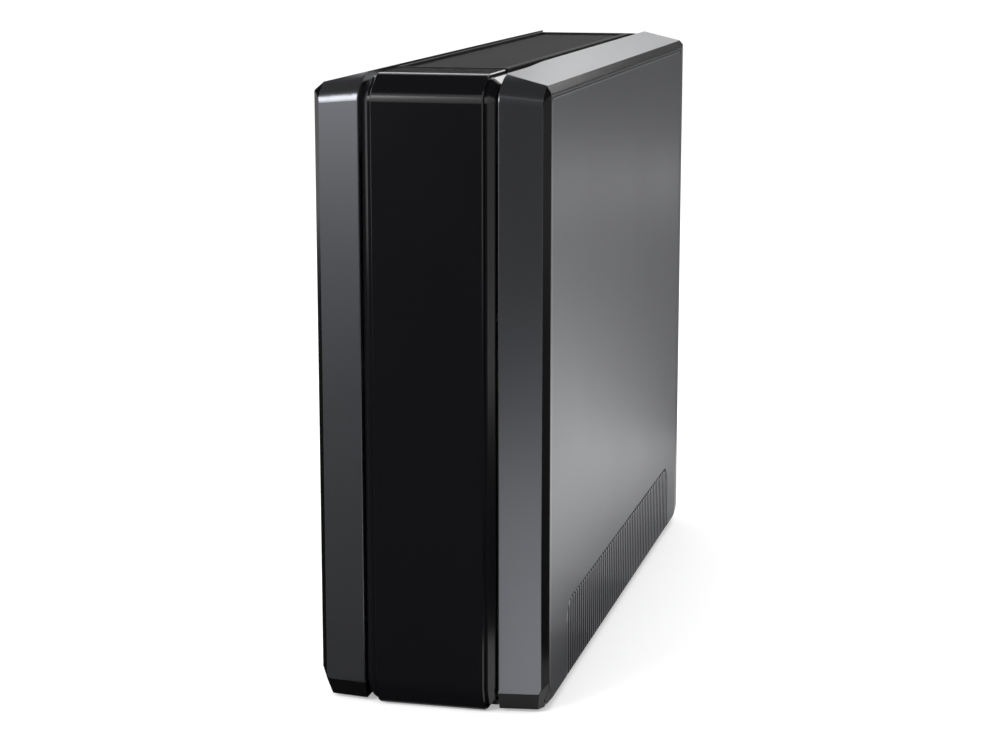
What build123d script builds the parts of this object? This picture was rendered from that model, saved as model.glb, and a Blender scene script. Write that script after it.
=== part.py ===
# External battery pack for a tower UPS
#
# A tall narrow case of moulded plastic. Two half shells carry the front wings and
# the top fenders. A glossy centre panel runs up the front and over onto the top,
# where a ribbed vent panel carries on to the back. The battery cover on the right
# side slides down and comes off, and behind it two cartridges of two sealed
# lead-acid blocks stand in a tray.
#
# Frame: millimetres, +Z up, the front looks along -Y, the battery cover is on +X.
# The origin is on the floor, under the middle of the case.

import os
from math import cos, radians, sin, tan

from build123d import *

os.makedirs("parts", exist_ok=True)

# Driving dimensions of the whole case
WIDTH = 112.0
DEPTH = 382.0
HEIGHT = 301.0
WALL = 2.5

HALF = WIDTH / 2
FRONT = -DEPTH / 2
REAR = DEPTH / 2

# The underside stands on feet that show only as a thin gap
UNDERSIDE = 1.7

# Plan of the front: the panel stands proud, the wings sweep back to a chamfer
PANEL_HALF = 26.5
PANEL_TOP_Z = HEIGHT - 0.5
PANEL_THICK = 2.2
STEP_HALF = 28.2
STEP_DEPTH = 1.7
FLANGE_HALF = 31.5
FLANGE_DEPTH = 4.3
WING_INNER = 32.7
WING_OUTER = HALF - 3.2
WING_INNER_Y = FRONT + 2.8
WING_OUTER_Y = FRONT + 6.3
SIDE_FRONT_Y = FRONT + 10.1

# Chamfers along the top and bottom edges of the sides, with slightly rounded creases
CREASE_Z = 295.7
SIDE_TOP_Z = 292.1
SIDE_BOTTOM_Z = 5.3
FENDER_RISE = 0.235
EDGE_RADIUS = 0.6

# The fenders' inner edge steps inward behind the front panel
FENDER_INNER = 31.3
JOG_FRONT_Y = -125.0
JOG_REAR_Y = -89.0

# The lower outer corner at the front is cut off by a slanted facet
FOOT_FACET = Plane(origin=(HALF, SIDE_FRONT_Y, 15.0), z_dir=(0.85, -0.43, -0.31))

# The case tapers a little behind the battery cover, and its tail is cut up
TAIL_Y = 177.0
TAIL_HALF = 54.9
TAIL_BOTTOM_Z = 10.5
TAIL_START_Y = 150.0
NOTCH_Z = 270.0

# Battery cover on the right side
COVER_THICK = 2.4
COVER_FRONT_Y = SIDE_FRONT_Y + 1.8
COVER_REAR_Y = TAIL_Y - 0.6
COVER_TOP_Z = SIDE_TOP_Z - 1.8
COVER_BOTTOM_Z = 3.6
COVER_GAP = 0.35
COVER_TRAVEL = 12.0

# Ribbed grip at the bottom of the cover
GRIP_FRONT_Y = -142.0
GRIP_REAR_Y = 150.5
GRIP_TOP_Z = 43.5
GRIP_RADIUS = 13.0
GRIP_DEPTH = 1.3
RIB_PITCH = 5.2
RIB_WIDTH = 2.7

# Vent panel between the fenders
VENT_FRONT_Y = FRONT + 46.6
VENT_HALF = 27.0
VENT_RIM = 2.2
VENT_FIELD_END_Y = 163.0
VENT_RIB_PITCH = 4.3
VENT_RIB_WIDTH = 2.2
VENT_RECESS = 1.3

# Lugs that hold the front and the vent panel between the two shells
LUG_LENGTH = 10.0
PANEL_LUG_Z = [45.0, 150.0, 255.0]
VENT_LUG_Y = [-60.0, 40.0, 140.0]

# Sealed lead-acid block, 12 V 9 Ah
BLOCK_LENGTH = 151.0
BLOCK_WIDTH = 65.0
BLOCK_HEIGHT = 94.0
BLOCK_LEFT_X = -49.0
BLOCK_CLEARANCE = 0.5
TAB_WIDTH = 6.3
TAB_LENGTH = 6.2

# Tray for the cartridges
TRAY_WALL = 2.0
TRAY_DIVIDER = 4.0
TRAY_FLOOR_Z = 9.0
TRAY_HALF_LENGTH = TRAY_DIVIDER / 2 + BLOCK_LENGTH + 1.0 + TRAY_WALL
TRAY_TOP_Z = TRAY_FLOOR_Z + 2 * BLOCK_WIDTH + 1.6 + 2 * TRAY_WALL
TRAY_BACK_X = BLOCK_LEFT_X - 0.5 - TRAY_WALL
TRAY_FRONT_X = 46.2
WINDOW_HALF = 55.0
TOP_WINDOW_X = (-35.0, -4.0)
STRAP_THICK = 0.5
BLOCK_FLOOR_Z = TRAY_FLOOR_Z + TRAY_WALL + STRAP_THICK

# Opening of the battery bay in the right shell
BAY_HALF_LENGTH = TRAY_HALF_LENGTH + 1.0
BAY_BOTTOM_Z = 8.0
BAY_TOP_Z = TRAY_TOP_Z + 2.0

# Hooks of the cover and their slots in the right shell
HOOK_WIDTH = 12.0
HOOK_STEM = 3.0
HOOK_FOOT = 8.0
HOOK_THICK = 2.0
HOOK_PLACES = [
    (-168.0, 60.0),
    (165.0, 60.0),
    (-168.0, 175.0),
    (-2.0, 175.0),
    (165.0, 175.0),
    (-168.0, 262.0),
    (-2.0, 262.0),
    (165.0, 262.0),
]

# Rear panel, set a little into the two shells
REAR_PANEL_THICK = 2.5
REAR_PANEL_Y = REAR - 3.0 - REAR_PANEL_THICK
REAR_PANEL_HALF = 52.0
REAR_PANEL_BOTTOM_Z = 13.0
REAR_PANEL_TOP_Z = 289.0

# The two direct-current sockets in the rear panel
SOCKET_X = -22.0
OUTPUT_SOCKET_Z = 190.0
LINK_SOCKET_Z = 150.0
SOCKET_WIDTH = 36.0
SOCKET_HEIGHT = 22.0
SOCKET_BACK_Y = REAR - 27.0
SOCKET_LIP = 2.5
MOUTH_WIDTH = 31.0
MOUTH_HEIGHT = 17.0
MOUTH_DEPTH = 17.0
CONTACT_OFFSET = 8.0
CONTACT_WIDTH = 8.0
CONTACT_THICK = 1.5
CONTACT_TAIL = 5.0
CONTACT_INSET = 5.0

# Side wall of the right shell behind the cover
RECESS_X = HALF - COVER_THICK - 0.4
RECESS_WALL = 2.4

# Where the half shells are open towards the middle of the case
GROOVE_WALL_BOTTOM_Z = 284.0
WING_WALL_REAR_Y = -172.0

# Floor sheet that joins the two shells, and the lap that lies on their floor edges
FLOOR_HALF = FENDER_INNER - 0.3
LAP_HALF = 46.0
LAP_THICK = 2.0
LAP_TOP_Z = UNDERSIDE + WALL + LAP_THICK

# Screws
SCREW_RADIUS = 1.5
SCREW_HEAD_RADIUS = 3.2
BOSS_RADIUS = 4.0
REAR_SCREW_X = 45.0
REAR_SCREW_Z = [26.0, 276.0]
BASE_SCREW_X = 38.0
BASE_SCREW_Y = [-115.0, 65.0]
TRAY_SCREW_X = -38.0
TRAY_SCREW_Z = [40.0, 115.0]
TRAY_EAR_Y = TRAY_HALF_LENGTH + 5.5

# Feet
FOOT_RADIUS = 9.0
FOOT_X = 38.0
FOOT_Y = [-155.0, 105.0]

# Leads between the cartridges, the fuse and the sockets
LEAD_RADIUS = 1.7
LEAD_X = 48.4
LEAD_BEND = 10.0
CLOSE_BEND = 6.0
LEAD_TURN = 12.0
TAB_OFFSET_Y = 55.0
TAB_OFFSET_Z = 20.0

# Push-on boots of the leads: half width, and how far they reach past the tab
BOOT_HALF = 4.5
BOOT_TAIL = 8.0
BOOT_NOSE = 5.0
BOOT_HEIGHT = 6.2

# Fuse holder, clipped into the window in the tray's top
FUSE_X = 14.0
FUSE_HOLDER_HALF = 10.0
FUSE_FRONT_Y = 66.0
FUSE_REAR_Y = 104.0
FUSE_BOTTOM_Z = TRAY_TOP_Z + 2.4
FUSE_TOP_Z = FUSE_BOTTOM_Z + 22.0
FUSE_CUP_HALF = 5.0
FUSE_CUP_DEPTH = 16.0
FUSE_HALF = 4.0

# Foam pads on the inside of the cover
PAD_HALF = 22.0
PAD_BOTTOM_Z = 60.0
PAD_TOP_Z = 100.0


# Outer form of one half of the case

def plan_outline(inset):
    """Plan of the right half: front wing, chamfer, side, tapered tail, stepped inner edge."""
    with BuildSketch(Plane.XY) as plan:
        with BuildLine():
            Polyline(
                (WING_INNER, JOG_FRONT_Y),
                (WING_INNER, WING_INNER_Y),
                (WING_OUTER, WING_OUTER_Y),
                (HALF, SIDE_FRONT_Y),
                (HALF, TAIL_Y),
                (TAIL_HALF, REAR),
                (FENDER_INNER, REAR),
                (FENDER_INNER, JOG_REAR_Y),
                close=True,
            )
        make_face()
        jog = vertices().filter_by_position(Axis.Y, JOG_FRONT_Y, JOG_REAR_Y)
        fillet(jog, radius=300.0)
        if inset:
            offset(amount=-inset, kind=Kind.INTERSECTION)
    return plan.sketch


def section_outline(inset):
    """Cross-section of the right half: chamfered edges and a fender that rises inward."""
    fender_inner_z = CREASE_Z + (WING_OUTER - FENDER_INNER) * FENDER_RISE
    beyond = FENDER_INNER - 10.0
    beyond_z = fender_inner_z + 10.0 * FENDER_RISE
    with BuildSketch(Plane.XZ.offset(-REAR - 10.0)) as section:
        with BuildLine():
            Polyline(
                (beyond, UNDERSIDE),
                (WING_OUTER, UNDERSIDE),
                (HALF, SIDE_BOTTOM_Z),
                (HALF, SIDE_TOP_Z),
                (WING_OUTER, CREASE_Z),
                (beyond, beyond_z),
                close=True,
            )
        make_face()
        if inset:
            offset(amount=-inset, kind=Kind.INTERSECTION)
    return section.sketch


def profile_outline(inset, plane):
    """Side view of the case: undercut front foot, rounded front brow and rising tail."""
    face = WING_INNER_Y + inset
    brow_radius = 6.5
    brow_start_z = 288.4 - inset
    turn = 49.0
    brow_end = (
        face + brow_radius * (1 - cos(radians(turn))),
        brow_start_z + brow_radius * sin(radians(turn)),
    )
    crease = (WING_INNER_Y + 15.6 + inset, 300.2 - inset)
    above = (crease[0] + 40.0, crease[1] + 40.0 * tan(radians(12.0)))
    with BuildSketch(plane) as profile:
        with BuildLine():
            Polyline((face + 4.0, UNDERSIDE + inset), (face, 11.5), (face, brow_start_z))
            brow = RadiusArc((face, brow_start_z), brow_end, brow_radius)
            TangentArc(brow_end, crease, tangent=brow % 1)
            Polyline(
                crease,
                above,
                (REAR - inset, above[1]),
                (REAR - inset, TAIL_BOTTOM_Z + inset),
                (TAIL_START_Y, SIDE_BOTTOM_Z + inset),
                (TAIL_START_Y - 20.0, UNDERSIDE + inset),
                (face + 4.0, UNDERSIDE + inset),
            )
        make_face()
    return profile.sketch


def half_case(inset=0.0):
    """Solid right half of the case, or the hollow inside it when inset is the wall."""
    sweep_back = Vector(WING_OUTER - WING_INNER, WING_OUTER_Y - WING_INNER_Y, -1.9)
    start = Plane(Vector(WING_INNER, 0, 0) - sweep_back * 0.3, x_dir=(0, 1, 0), z_dir=(1, 0, 0))
    with BuildPart() as case:
        extrude(plan_outline(inset), amount=HEIGHT + 10.0)
        extrude(section_outline(inset), amount=DEPTH + 20.0, mode=Mode.INTERSECT)
        extrude(
            profile_outline(inset, start),
            amount=60.0,
            dir=sweep_back.normalized(),
            mode=Mode.INTERSECT,
        )
        with BuildSketch(FOOT_FACET.offset(-inset)):
            Rectangle(80.0, 80.0)
        extrude(amount=30.0, mode=Mode.SUBTRACT)
        if not inset:
            outer_edges = case.edges().filter_by_position(Axis.X, WING_OUTER - 0.1, HALF + 0.1)
            creases = outer_edges.filter_by_position(Axis.Y, FRONT, 20.0)
            fillet(creases.filter_by_position(Axis.Z, HEIGHT / 3, HEIGHT), radius=EDGE_RADIUS)
            wing_edge = case.edges().filter_by(Axis.Z).group_by(Axis.Y)[0]
            fillet(wing_edge, radius=EDGE_RADIUS)
    return case.part


def box_between(low, high, mode=Mode.ADD):
    """Box in the part being built, from its lowest corner to its highest one."""
    size = [b - a for a, b in zip(low, high)]
    middle = tuple((a + b) / 2 for a, b in zip(low, high))
    with Locations(middle):
        Box(*size, mode=mode)


def peg(start, rotation, radius, length, mode=Mode.ADD):
    """Round peg or hole in the part being built, which starts at a point."""
    with Locations(Location(start, rotation)):
        Cylinder(radius, length, align=(Align.CENTER, Align.CENTER, Align.MIN), mode=mode)


ALONG_X = (0, 90, 0)
ALONG_Y = (-90, 0, 0)
ALONG_Z = (0, 0, 0)


def finish(builder, name):
    """Label a finished piece and write it to its own file."""
    builder.part.label = name
    export_step(builder.part, f"parts/{name}.step")


case_form = half_case()


# Half shells: wing, fender, side wall and floor edge in one moulding, open to the middle

def floor_line(rise):
    """Side view of the case's underside, raised by a distance, from front to back."""
    return [
        (WING_WALL_REAR_Y, UNDERSIDE + rise),
        (TAIL_START_Y - 20.0, UNDERSIDE + rise),
        (TAIL_START_Y, SIDE_BOTTOM_Z + rise),
        (REAR - 0.5, TAIL_BOTTOM_Z + rise),
    ]


def side_view(points, plane):
    """Face in a side view, from the (Y, Z) points of its outline."""
    with BuildSketch(plane) as view:
        with BuildLine():
            Polyline(*points, close=True)
        make_face()
    return view.sketch


with BuildPart() as half_shell:
    add(case_form)
    add(half_case(WALL), mode=Mode.SUBTRACT)
    open_side = floor_line(WALL)[:-1] + [
        (REAR - 3.0, TAIL_BOTTOM_Z + WALL),
        (REAR - 3.0, GROOVE_WALL_BOTTOM_Z),
        (WING_WALL_REAR_Y, GROOVE_WALL_BOTTOM_Z),
    ]
    extrude(
        side_view(open_side, Plane.YZ.offset(FENDER_INNER - 4.0)),
        amount=8.0,
        mode=Mode.SUBTRACT,
    )
    box_between(
        (0.0, REAR - 6.0, REAR_PANEL_BOTTOM_Z - 0.3),
        (REAR_PANEL_HALF + 0.3, REAR + 6.0, REAR_PANEL_TOP_Z + 0.3),
        mode=Mode.SUBTRACT,
    )
    for screw_z in REAR_SCREW_Z:
        boss = (REAR_SCREW_X, REAR_PANEL_Y - 12.0, screw_z)
        box_between(
            (REAR_SCREW_X, REAR_PANEL_Y - 12.0, screw_z - 1.5),
            (HALF - WALL + 0.2, REAR_PANEL_Y, screw_z + 1.5),
        )
        peg(boss, ALONG_Y, BOSS_RADIUS, 12.0)
        peg(boss, ALONG_Y, SCREW_RADIUS, 12.0, mode=Mode.SUBTRACT)
    for screw_y in BASE_SCREW_Y:
        peg((BASE_SCREW_X, screw_y, 0.0), ALONG_Z, SCREW_RADIUS + 0.1, 6.0, mode=Mode.SUBTRACT)

with BuildPart() as left_shell:
    mirror(half_shell.part, about=Plane.YZ)
    for screw_z in TRAY_SCREW_Z:
        for screw_y in (-TRAY_EAR_Y, TRAY_EAR_Y):
            boss = (-HALF + WALL - 0.2, screw_y, screw_z)
            boss_length = TRAY_SCREW_X - 2.0 - boss[0]
            peg(boss, ALONG_X, BOSS_RADIUS, boss_length)
            pilot = (boss[0] + 3.0, screw_y, screw_z)
            peg(pilot, ALONG_X, SCREW_RADIUS, 20.0, mode=Mode.SUBTRACT)
finish(left_shell, "left_shell")

# The right shell's side wall is set in behind the cover, with slots for its hooks
# and the opening of the battery bay

with BuildPart() as recess_wall:
    add(case_form)
    box_between(
        (RECESS_X - RECESS_WALL, SIDE_FRONT_Y - 1.0, 0.0),
        (RECESS_X + 0.4, TAIL_Y + 2.5, SIDE_TOP_Z + 1.0),
        mode=Mode.INTERSECT,
    )

slot_height = HOOK_STEM + COVER_TRAVEL + 1.0

with BuildPart() as right_shell:
    add(half_shell.part)
    add(recess_wall.part)
    box_between(
        (RECESS_X, COVER_FRONT_Y - COVER_GAP, -5.0),
        (HALF + 5.0, COVER_REAR_Y + COVER_GAP, COVER_TOP_Z + COVER_GAP),
        mode=Mode.SUBTRACT,
    )
    with BuildSketch(Plane.YZ.offset(RECESS_X - RECESS_WALL - 1.0)):
        with Locations((0.0, (BAY_BOTTOM_Z + BAY_TOP_Z) / 2)):
            RectangleRounded(2 * BAY_HALF_LENGTH, BAY_TOP_Z - BAY_BOTTOM_Z, 4.0)
        for hook_y, hook_z in HOOK_PLACES:
            with Locations((hook_y, hook_z + 0.5)):
                Rectangle(HOOK_WIDTH + 1.0, slot_height, align=(Align.CENTER, Align.MAX))
    extrude(amount=RECESS_WALL + 2.0, mode=Mode.SUBTRACT)
    # a small notch in the strip behind the cover
    box_between(
        (TAIL_HALF - 0.6, REAR - 7.0, NOTCH_Z - 0.4),
        (HALF + 1.0, REAR - 3.5, NOTCH_Z + 0.4),
        mode=Mode.SUBTRACT,
    )
finish(right_shell, "right_shell")


# Side cover: flush plate with hooks, and a ribbed grip sunk into its lower edge

def grip_outline(inset, plane):
    """Grip field in side view: rounded at its two upper corners, open at the bottom."""
    with BuildSketch(plane) as grip:
        with Locations(((GRIP_FRONT_Y + GRIP_REAR_Y) / 2, GRIP_TOP_Z - inset)):
            RectangleRounded(
                GRIP_REAR_Y - GRIP_FRONT_Y - 2 * inset,
                80.0,
                GRIP_RADIUS - inset,
                align=(Align.CENTER, Align.MAX),
            )
    return grip.sketch


rib_count = int((GRIP_REAR_Y - GRIP_FRONT_Y) / RIB_PITCH)
grip_floor_x = HALF - GRIP_DEPTH

with BuildPart() as grip_ribs:
    extrude(grip_outline(0.8, Plane.YZ.offset(grip_floor_x)), amount=GRIP_DEPTH - 0.2, taper=40)
    with BuildSketch(Plane.YZ.offset(grip_floor_x - 1.0)):
        with Locations(((GRIP_FRONT_Y + GRIP_REAR_Y) / 2, GRIP_TOP_Z / 2)):
            with GridLocations(RIB_PITCH, 0, rib_count, 1):
                Rectangle(RIB_WIDTH, GRIP_TOP_Z + 20.0)
    extrude(amount=GRIP_DEPTH + 2.0, mode=Mode.INTERSECT)
    add(case_form, mode=Mode.INTERSECT)

with BuildPart() as side_cover:
    add(case_form)
    with BuildSketch(Plane.YZ.offset(HALF - COVER_THICK)):
        with Locations(((COVER_FRONT_Y + COVER_REAR_Y) / 2, COVER_TOP_Z)):
            RectangleRounded(
                COVER_REAR_Y - COVER_FRONT_Y,
                COVER_TOP_Z + 20.0,
                2.5,
                align=(Align.CENTER, Align.MAX),
            )
    extrude(amount=COVER_THICK + 1.0, mode=Mode.INTERSECT)
    extrude(grip_outline(0.0, Plane.YZ.offset(grip_floor_x)), amount=5.0, mode=Mode.SUBTRACT)
    add(grip_ribs.part)
    foot_x = RECESS_X - RECESS_WALL - 0.3 - HOOK_THICK
    for hook_y, hook_z in HOOK_PLACES:
        box_between(
            (foot_x, hook_y - HOOK_WIDTH / 2, hook_z - HOOK_STEM),
            (HALF - COVER_THICK + 0.2, hook_y + HOOK_WIDTH / 2, hook_z),
        )
        box_between(
            (foot_x, hook_y - HOOK_WIDTH / 2, hook_z - HOOK_STEM),
            (foot_x + HOOK_THICK, hook_y + HOOK_WIDTH / 2, hook_z + HOOK_FOOT),
        )
finish(side_cover, "side_cover")


# Front panel: one profile with slanted edge flanges, carried up the front and over the brow

with BuildPart() as front_panel:
    with BuildLine(Plane.YZ) as panel_path:
        FilletPolyline(
            (FRONT + 6.0, -2.4),
            (FRONT, 11.5),
            (FRONT, 292.1),
            (FRONT + 11.5, PANEL_TOP_Z),
            (VENT_FRONT_Y - 0.4, PANEL_TOP_Z),
            radius=[10.0, 8.0, 12.0],
        )
    path_start = panel_path.line @ 0
    with BuildSketch(Plane(path_start, x_dir=(1, 0, 0), z_dir=panel_path.line % 0)):
        with BuildLine():
            Polyline(
                (0.0, 0.0),
                (PANEL_HALF - 0.5, 0.0),
                (PANEL_HALF, 0.5),
                (PANEL_HALF + 0.2, STEP_DEPTH),
                (STEP_HALF, STEP_DEPTH),
                (FLANGE_HALF, FLANGE_DEPTH),
                (FLANGE_HALF, FLANGE_DEPTH + PANEL_THICK),
                (STEP_HALF - 1.0, STEP_DEPTH + PANEL_THICK),
                (PANEL_HALF - 3.0, PANEL_THICK),
                (0.0, PANEL_THICK),
                close=True,
            )
        make_face()
        mirror(about=Plane.YZ)
    sweep(path=panel_path.line)
    with BuildSketch(Plane.XZ.offset(-VENT_FRONT_Y)):
        with Locations((0.0, UNDERSIDE - 0.5)):
            Rectangle(2 * FLANGE_HALF + 1.0, HEIGHT, align=(Align.CENTER, Align.MIN))
        chamfer(vertices().group_by(Axis.Y)[0], length=5.0, length2=7.0)
    extrude(amount=60.0, mode=Mode.INTERSECT)
    # lugs behind the flanges, which press on the wings' inner walls
    flange_back_y = FRONT + FLANGE_DEPTH + PANEL_THICK
    nose_length = WING_INNER - FLANGE_HALF + 1.0
    for side, inward in ((-1, Align.MIN), (1, Align.MAX)):
        for lug_z in PANEL_LUG_Z:
            with Locations((side * FLANGE_HALF, flange_back_y - 1.0, lug_z)):
                Box(2.0, 8.0, LUG_LENGTH, align=(inward, Align.MIN, Align.CENTER))
            with Locations((side * WING_INNER, flange_back_y + 2.0, lug_z)):
                Box(nose_length, 4.0, LUG_LENGTH, align=(inward, Align.MIN, Align.CENTER))
finish(front_panel, "front_panel")


# Vent panel: a rim around cross ribs, edge flanges in the grooves and a plain deck behind

field_half = VENT_HALF - VENT_RIM
field_front_y = VENT_FRONT_Y + VENT_RIM
field_length = VENT_FIELD_END_Y - field_front_y
vent_slot_count = int(field_length / VENT_RIB_PITCH)

with BuildPart() as top_vent_panel:
    with BuildSketch(Plane.XZ.offset(-REAR)):
        with BuildLine():
            Polyline(
                (0.0, HEIGHT),
                (VENT_HALF - 0.5, HEIGHT),
                (VENT_HALF, HEIGHT - 0.5),
                (VENT_HALF, HEIGHT - 3.5),
                (FENDER_INNER - 0.4, HEIGHT - 3.5),
                (FENDER_INNER - 0.4, REAR_PANEL_TOP_Z + 0.4),
                (FENDER_INNER - 2.4, REAR_PANEL_TOP_Z + 0.4),
                (FENDER_INNER - 2.4, HEIGHT - 5.5),
                (field_half, HEIGHT - 5.5),
                (field_half, HEIGHT - 4.0),
                (0.0, HEIGHT - 4.0),
                close=True,
            )
        make_face()
        mirror(about=Plane.YZ)
    extrude(amount=REAR - VENT_FRONT_Y)
    front_edges = edges().filter_by(Axis.X).group_by(Axis.Y)[0]
    chamfer(front_edges.sort_by(Axis.Z)[-1], length=0.5)
    box_between(
        (-field_half, field_front_y, HEIGHT - VENT_RECESS),
        (field_half, VENT_FIELD_END_Y, HEIGHT + 10.0),
        mode=Mode.SUBTRACT,
    )
    with BuildSketch(Plane.XY.offset(HEIGHT - 10.0)):
        with Locations((0.0, field_front_y + field_length / 2)):
            with GridLocations(0, VENT_RIB_PITCH, 1, vent_slot_count):
                Rectangle(2 * field_half - 0.8, VENT_RIB_PITCH - VENT_RIB_WIDTH)
    extrude(amount=10.0, mode=Mode.SUBTRACT)
    # an apron closes the back down to the rear panel, and the deck slopes a little to it
    box_between(
        (-FENDER_INNER + 0.4, REAR - 2.4, REAR_PANEL_TOP_Z + 0.4),
        (FENDER_INNER - 0.4, REAR, HEIGHT - 3.5),
    )
    deck_slope = [
        (VENT_FIELD_END_Y + 1.0, HEIGHT),
        (REAR + 1.0, HEIGHT - 1.7),
        (REAR + 1.0, HEIGHT + 1.0),
        (VENT_FIELD_END_Y + 1.0, HEIGHT + 1.0),
    ]
    extrude(
        side_view(deck_slope, Plane.YZ.offset(-HALF)),
        amount=WIDTH,
        mode=Mode.SUBTRACT,
    )
    # lugs on the flanges, which press on the fenders' inner walls
    for lug_y in VENT_LUG_Y:
        for lug_x in (-FENDER_INNER, FENDER_INNER - 1.0):
            box_between(
                (lug_x, lug_y - LUG_LENGTH / 2, REAR_PANEL_TOP_Z + 1.0),
                (lug_x + 1.0, lug_y + LUG_LENGTH / 2, REAR_PANEL_TOP_Z + 4.0),
            )
finish(top_vent_panel, "top_vent_panel")


# Floor sheet between the two shells, with a lap that lies on their floor edges inside

with BuildPart() as base_plate:
    sheet = [(FRONT + 11.5, UNDERSIDE)] + floor_line(0.0)[1:]
    sheet += [(y, z) for y, z in reversed(floor_line(WALL)[1:])]
    sheet += [(FRONT + 11.5, UNDERSIDE + WALL)]
    extrude(side_view(sheet, Plane.YZ.offset(-FLOOR_HALF)), amount=2 * FLOOR_HALF)
    box_between(
        (-LAP_HALF, WING_WALL_REAR_Y + 0.5, UNDERSIDE + WALL),
        (LAP_HALF, TAIL_START_Y - 22.0, LAP_TOP_Z),
    )
    for screw_x in (-BASE_SCREW_X, BASE_SCREW_X):
        for screw_y in BASE_SCREW_Y:
            peg((screw_x, screw_y, 0.0), ALONG_Z, SCREW_RADIUS + 0.1, 8.0, mode=Mode.SUBTRACT)
finish(base_plate, "base_plate")


# Rear panel with vent slots and the cut-outs of the two sockets

with BuildPart() as rear_panel:
    box_between(
        (-REAR_PANEL_HALF, REAR_PANEL_Y, REAR_PANEL_BOTTOM_Z),
        (REAR_PANEL_HALF, REAR_PANEL_Y + REAR_PANEL_THICK, REAR_PANEL_TOP_Z),
    )
    with BuildSketch(Plane.XZ.offset(-REAR_PANEL_Y + 1.0)):
        for socket_z in (OUTPUT_SOCKET_Z, LINK_SOCKET_Z):
            with Locations((SOCKET_X, socket_z)):
                Rectangle(SOCKET_WIDTH + 0.4, SOCKET_HEIGHT + 0.4)
        with Locations((0.0, 250.0)):
            with GridLocations(40.0, 7.0, 2, 6):
                Rectangle(34.0, 3.0)
        with Locations((0.0, 70.0)):
            with GridLocations(40.0, 7.0, 2, 8):
                Rectangle(34.0, 3.0)
        for screw_z in REAR_SCREW_Z:
            with Locations((-REAR_SCREW_X, screw_z), (REAR_SCREW_X, screw_z)):
                Circle(SCREW_RADIUS + 0.1)
    extrude(amount=-REAR_PANEL_THICK - 2.0, mode=Mode.SUBTRACT)
finish(rear_panel, "rear_panel")


# Direct-current sockets: a lip outside, a body inside and a deep keyed mouth

contact_xs = [SOCKET_X - CONTACT_OFFSET, SOCKET_X + CONTACT_OFFSET]


def contact_corners(contact_x, socket_z, play):
    """Lowest and highest corner of one contact blade, with play around it."""
    low = (
        contact_x - CONTACT_THICK / 2 - play,
        SOCKET_BACK_Y - CONTACT_TAIL,
        socket_z - CONTACT_WIDTH / 2 - play,
    )
    high = (
        contact_x + CONTACT_THICK / 2 + play,
        REAR - CONTACT_INSET,
        socket_z + CONTACT_WIDTH / 2 + play,
    )
    return low, high


def make_socket(socket_z, name):
    """One socket around its mouth, at its height in the rear panel."""
    with BuildPart() as socket:
        box_between(
            (SOCKET_X - SOCKET_WIDTH / 2, SOCKET_BACK_Y, socket_z - SOCKET_HEIGHT / 2),
            (SOCKET_X + SOCKET_WIDTH / 2, REAR - 2.9, socket_z + SOCKET_HEIGHT / 2),
        )
        with BuildSketch(Plane.XZ.offset(-REAR)):
            with Locations((SOCKET_X, socket_z)):
                RectangleRounded(SOCKET_WIDTH + 2 * SOCKET_LIP, SOCKET_HEIGHT + 2 * SOCKET_LIP, 3.0)
        extrude(amount=3.0)
        with BuildSketch(Plane.XZ.offset(-REAR)):
            with Locations((SOCKET_X, socket_z)):
                Rectangle(MOUTH_WIDTH, MOUTH_HEIGHT)
                chamfer(vertices().group_by(Axis.Y)[-1], length=4.0)
        extrude(amount=MOUTH_DEPTH, mode=Mode.SUBTRACT)
        for contact_x in contact_xs:
            box_between(*contact_corners(contact_x, socket_z, 0.1), mode=Mode.SUBTRACT)
    finish(socket, name)


make_socket(OUTPUT_SOCKET_Z, "output_socket")
make_socket(LINK_SOCKET_Z, "link_socket")

with BuildPart() as socket_contacts:
    for socket_z in (OUTPUT_SOCKET_Z, LINK_SOCKET_Z):
        for contact_x in contact_xs:
            box_between(*contact_corners(contact_x, socket_z, 0.0))
finish(socket_contacts, "socket_contacts")


# Feet

with BuildPart() as rubber_feet:
    for foot_y in FOOT_Y:
        with Locations((-FOOT_X, foot_y, 0.0), (FOOT_X, foot_y, 0.0)):
            Cylinder(FOOT_RADIUS, UNDERSIDE, align=(Align.CENTER, Align.CENTER, Align.MIN))
    chamfer(faces().sort_by(Axis.Z)[:4].edges(), length=0.5)
finish(rubber_feet, "rubber_feet")


# Tray: a cradle open towards the cover, with one bay for each cartridge

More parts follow.
